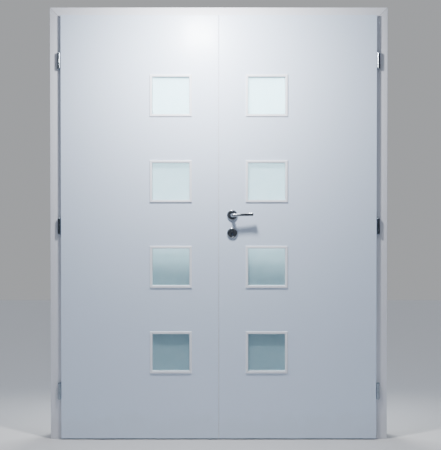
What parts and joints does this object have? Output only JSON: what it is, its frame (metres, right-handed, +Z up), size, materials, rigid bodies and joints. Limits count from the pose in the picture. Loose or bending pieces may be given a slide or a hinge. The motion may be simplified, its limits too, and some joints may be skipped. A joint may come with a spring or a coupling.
{
  "type": "interior double door",
  "caption": "Interior double door: two white rebated leaves with square frosted panes in a mitred timber frame, on barrel hinges, with a lever lock and flush bolts.",
  "frame": {"origin": "on the floor, in the middle of the doorway, in the plane of the frame's front face", "axes": "+Z up, +X to the right seen from the room the leaves open into, +Y from that room into the wall"},
  "size_m": [1.58, 0.197, 2.022],
  "materials": {
    "frame_lacquer": "white satin lacquer on fibreboard",
    "seal_rubber": "matt pale grey rubber",
    "hinge_steel": "nickel plated steel",
    "frosted_glass": "satin frosted",
    "bead_lacquer": "white satin lacquer",
    "core_board": "raw chipboard",
    "leaf_lacquer": "white satin lacquer",
    "handle_metal": "polished nickel",
    "lock_steel": "brushed"
  },
  "bodies": {
    "frame": {"casing_left": "frame_lacquer", "casing_right": "frame_lacquer", "casing_head": "frame_lacquer", "lining_left": "frame_lacquer", "lining_right": "frame_lacquer", "lining_head": "frame_lacquer", "back_casing_left": "frame_lacquer", "back_casing_right": "frame_lacquer", "back_casing_head": "frame_lacquer", "frame_seal": "seal_rubber", "frame_knuckle_left_bottom": "hinge_steel", "frame_knuckle_left_middle": "hinge_steel", "frame_knuckle_left_top": "hinge_steel", "frame_knuckle_right_bottom": "hinge_steel", "frame_knuckle_right_middle": "hinge_steel", "frame_knuckle_right_top": "hinge_steel"},
    "left_leaf": {"left_front_skin": "leaf_lacquer", "left_back_skin": "leaf_lacquer", "left_edge_frame": "leaf_lacquer", "left_lip": "leaf_lacquer", "left_core": "core_board", "leaf_knuckle_left_bottom": "hinge_steel", "leaf_knuckle_left_middle": "hinge_steel", "leaf_knuckle_left_top": "hinge_steel", "left_panes": "frosted_glass", "left_front_beads": "bead_lacquer", "left_back_beads": "bead_lacquer", "meeting_seal": "seal_rubber", "strike_plate": "lock_steel", "top_bolt_plate": "lock_steel", "bottom_bolt_plate": "lock_steel"},
    "right_leaf": {"right_front_skin": "leaf_lacquer", "right_back_skin": "leaf_lacquer", "right_edge_frame": "leaf_lacquer", "right_lip": "leaf_lacquer", "right_core": "core_board", "leaf_knuckle_right_bottom": "hinge_steel", "leaf_knuckle_right_middle": "hinge_steel", "leaf_knuckle_right_top": "hinge_steel", "right_panes": "frosted_glass", "right_front_beads": "bead_lacquer", "right_back_beads": "bead_lacquer", "lock_case": "lock_steel", "rose_front": "handle_metal", "rose_back": "handle_metal", "key_rose_front": "handle_metal", "key_rose_back": "handle_metal"},
    "lever_set": {"lever_front": "handle_metal", "lever_back": "handle_metal", "spindle": "lock_steel"},
    "latch": {"latch_bolt": "lock_steel"},
    "deadlock": {"dead_bolt": "lock_steel"},
    "upper_bolt": {"top_flush_bolt": "lock_steel"},
    "lower_bolt": {"bottom_flush_bolt": "lock_steel"}
  },
  "joints": [
    {"name": "left_swing", "type": "hinge", "parent": "frame", "child": "left_leaf", "pos_m": [-0.7462, -0.0095, 1], "axis": [0, 0, -1], "range_deg": [0, 170]},
    {"name": "right_swing", "type": "hinge", "parent": "frame", "child": "right_leaf", "pos_m": [0.7462, -0.0095, 1], "axis": [0, 0, 1], "range_deg": [0, 170]},
    {"name": "lever_turn", "type": "hinge", "parent": "right_leaf", "child": "lever_set", "pos_m": [0.063, 0.003, 1.052], "axis": [0, 1, 0], "range_deg": [0, 45], "stiffness_Nm_per_rad": 1.5, "springref_deg": -28.65},
    {"name": "latch_slide", "type": "slide", "parent": "right_leaf", "child": "latch", "axis": [-1, 0, 0], "range_m": [0, 0.01]},
    {"name": "dead_bolt_slide", "type": "slide", "parent": "right_leaf", "child": "deadlock", "axis": [-1, 0, 0], "range_m": [0, 0.014]},
    {"name": "upper_bolt_slide", "type": "slide", "parent": "left_leaf", "child": "upper_bolt", "axis": [0, 0, 1], "range_m": [0, 0.02]},
    {"name": "lower_bolt_slide", "type": "slide", "parent": "left_leaf", "child": "lower_bolt", "axis": [0, 0, -1], "range_m": [0, 0.02]}
  ]
}
